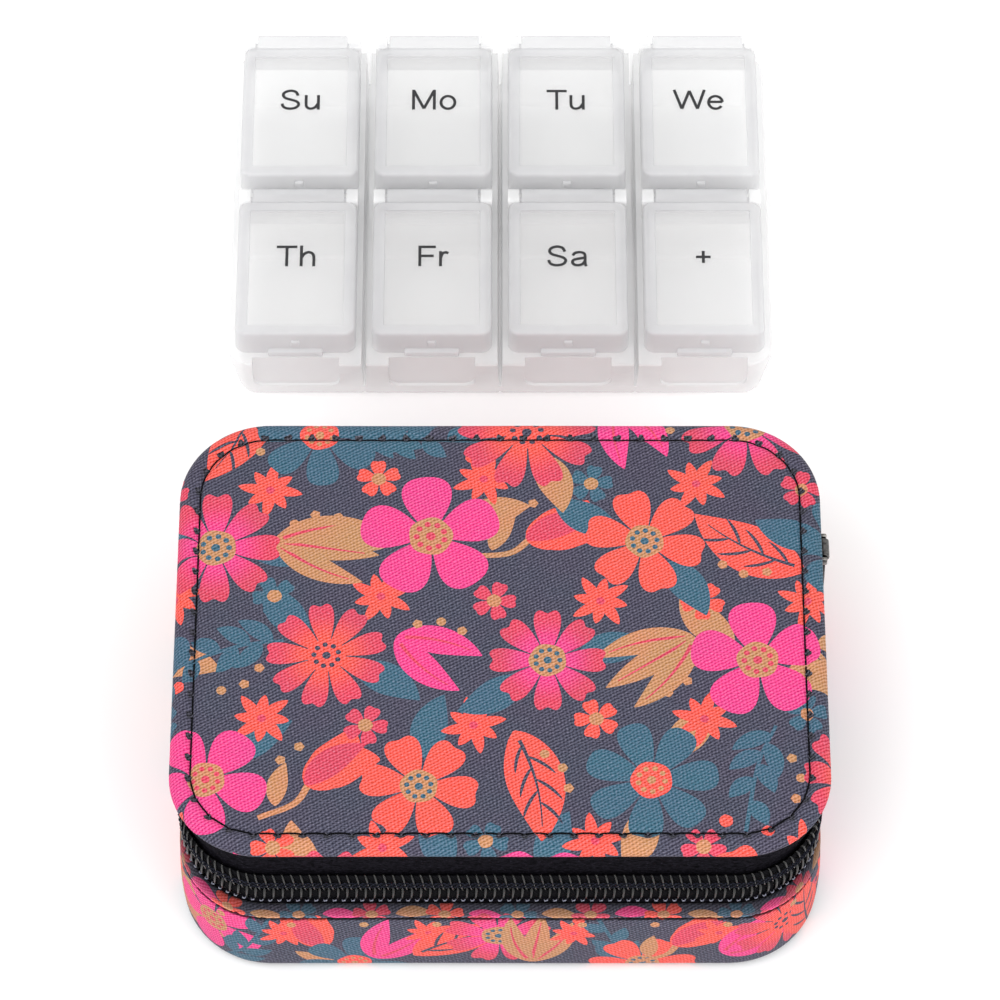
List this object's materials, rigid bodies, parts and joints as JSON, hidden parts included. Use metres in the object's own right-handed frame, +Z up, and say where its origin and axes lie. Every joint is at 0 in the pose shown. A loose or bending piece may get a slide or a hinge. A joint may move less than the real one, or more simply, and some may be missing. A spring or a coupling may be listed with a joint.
{
  "type": "travel pill organizer",
  "caption": "Zipped floral fabric travel case, closed, with its translucent lidded day-by-day pill tray standing behind it.",
  "frame": {"origin": "middle of the case's underside, on the surface that the object stands on", "axes": "+Z up, +X to the right along the case's front, +Y from the case's front towards its hinge and the tray behind it"},
  "size_m": [0.1242, 0.2092, 0.0425],
  "materials": {
    "printed_fabric": "coated canvas with a fine diagonal grain, printed with coral, pink, teal and tan flowers on slate",
    "padding": "closed-cell foam sheet",
    "board": "stiff board",
    "lining": "plain woven lining",
    "zip_tape": "black woven tape",
    "zip_coil": "black nylon coil",
    "zip_metal": "dark plated zinc",
    "tray_plastic": "frosted translucent polypropylene",
    "lid_plastic": "clear window in a frosted frame"
  },
  "bodies": {
    "case_base": {"base_bottom_panel": "printed_fabric", "base_wall_cover": "printed_fabric", "base_padding": "padding", "base_shell": "board", "base_lining": "lining", "zip_tape_lower": "zip_tape", "zip_coil_lower": "zip_coil", "hinge_panel": "printed_fabric"},
    "case_lid": {"lid_cover": "printed_fabric", "lid_foam": "padding", "lid_board": "board", "lid_lining": "lining", "zip_tape_upper": "zip_tape", "zip_coil_upper": "zip_coil"},
    "zip_slider": {"zip_slider": "zip_metal"},
    "zip_pull": {"zip_pull": "zip_metal"},
    "pill_tray": {"tray_body": "tray_plastic"},
    "tray_lid_sunday": {"tray_lid_sunday": "lid_plastic"},
    "tray_lid_monday": {"tray_lid_monday": "lid_plastic"},
    "tray_lid_tuesday": {"tray_lid_tuesday": "lid_plastic"},
    "tray_lid_wednesday": {"tray_lid_wednesday": "lid_plastic"},
    "tray_lid_thursday": {"tray_lid_thursday": "lid_plastic"},
    "tray_lid_friday": {"tray_lid_friday": "lid_plastic"},
    "tray_lid_saturday": {"tray_lid_saturday": "lid_plastic"},
    "tray_lid_extra": {"tray_lid_extra": "lid_plastic"}
  },
  "joints": [
    {"name": "case_lid_hinge", "type": "hinge", "parent": "case_base", "child": "case_lid", "pos_m": [0, 0.0476, 0.0284], "axis": [-1, 0, 0], "range_deg": [0, 110]},
    {"name": "zip_slide", "type": "slide", "parent": "case_base", "child": "zip_slider", "axis": [0, -1, 0], "range_m": [0, 0.054]},
    {"name": "zip_pull_swing", "type": "hinge", "parent": "zip_slider", "child": "zip_pull", "pos_m": [0.06225, 0.027, 0.0284], "axis": [0, -1, 0], "range_deg": [0, 150]},
    {"name": "tray_lift", "type": "slide", "parent": "case_base", "child": "pill_tray", "axis": [0, 0, 1], "range_m": [0, 0.04]},
    {"name": "sunday_lid_hinge", "type": "hinge", "parent": "pill_tray", "child": "tray_lid_sunday", "pos_m": [-0.04102, 0.158, 0.0176], "axis": [-1, 0, 0], "range_deg": [0, 95]},
    {"name": "monday_lid_hinge", "type": "hinge", "parent": "pill_tray", "child": "tray_lid_monday", "pos_m": [-0.01367, 0.158, 0.0176], "axis": [-1, 0, 0], "range_deg": [0, 95]},
    {"name": "tuesday_lid_hinge", "type": "hinge", "parent": "pill_tray", "child": "tray_lid_tuesday", "pos_m": [0.01367, 0.158, 0.0176], "axis": [-1, 0, 0], "range_deg": [0, 95]},
    {"name": "wednesday_lid_hinge", "type": "hinge", "parent": "pill_tray", "child": "tray_lid_wednesday", "pos_m": [0.04102, 0.158, 0.0176], "axis": [-1, 0, 0], "range_deg": [0, 95]},
    {"name": "thursday_lid_hinge", "type": "hinge", "parent": "pill_tray", "child": "tray_lid_thursday", "pos_m": [-0.04102, 0.1183, 0.0176], "axis": [-1, 0, 0], "range_deg": [0, 95]},
    {"name": "friday_lid_hinge", "type": "hinge", "parent": "pill_tray", "child": "tray_lid_friday", "pos_m": [-0.01367, 0.1183, 0.0176], "axis": [-1, 0, 0], "range_deg": [0, 95]},
    {"name": "saturday_lid_hinge", "type": "hinge", "parent": "pill_tray", "child": "tray_lid_saturday", "pos_m": [0.01367, 0.1183, 0.0176], "axis": [-1, 0, 0], "range_deg": [0, 95]},
    {"name": "extra_lid_hinge", "type": "hinge", "parent": "pill_tray", "child": "tray_lid_extra", "pos_m": [0.04102, 0.1183, 0.0176], "axis": [-1, 0, 0], "range_deg": [0, 95]}
  ]
}
